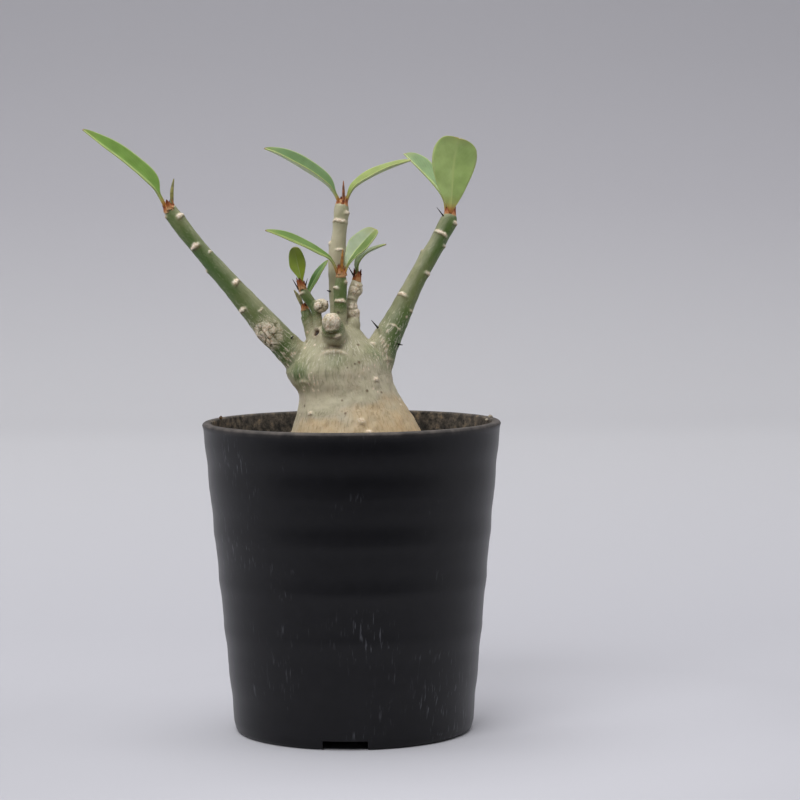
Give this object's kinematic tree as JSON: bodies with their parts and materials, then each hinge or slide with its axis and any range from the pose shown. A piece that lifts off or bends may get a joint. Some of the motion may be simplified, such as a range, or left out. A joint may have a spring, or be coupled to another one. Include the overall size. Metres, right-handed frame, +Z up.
{
  "type": "potted desert rose",
  "caption": "Young desert rose with a swollen stem, bare branches and small leaf tufts, growing in a tapered round plastic nursery pot.",
  "frame": {"origin": "centre of the pot's foot, on the surface that it stands on", "axes": "+Z up along the pot's axis; the side that the plant is looked at from is -Y, with +X to the right"},
  "size_m": [0.1247, 0.0904, 0.1828],
  "materials": {
    "pot": "satin moulded black, lightly scuffed",
    "soil": "loose mixed grit, matt",
    "caudex_bark": "smooth grey-green bark with fine wrinkles, tan at the foot",
    "stem_bark": "green bark with a pale waxy bloom and cream leaf scars",
    "bud_scales": "dry rust-brown scales",
    "leaf": "smooth waxy green",
    "young_leaf": "smooth orange-brown"
  },
  "bodies": {
    "root": {"back_bud": "bud_scales", "back_leaf": "leaf", "back_shoot": "stem_bark", "caudex": "caudex_bark", "centre_bud": "bud_scales", "centre_left_leaf": "leaf", "centre_right_leaf": "leaf", "centre_stem": "stem_bark", "centre_young_leaf": "young_leaf", "front_bud": "bud_scales", "front_left_leaf": "leaf", "front_right_leaf": "leaf", "front_shoot": "stem_bark", "front_stump": "stem_bark", "front_young_leaf": "young_leaf", "left_bud": "bud_scales", "left_leaf": "leaf", "left_stem": "stem_bark", "left_young_leaf": "young_leaf", "outer_bud": "bud_scales", "outer_shoot": "stem_bark", "outer_young_leaf": "young_leaf", "pot": "pot", "rear_leaf": "leaf", "right_broad_leaf": "leaf", "right_bud": "bud_scales", "right_rear_leaf": "leaf", "right_stem": "stem_bark", "soil": "soil", "spoon_bud": "bud_scales", "spoon_leaf": "leaf", "spoon_shoot": "stem_bark"}
  },
  "joints": []
}
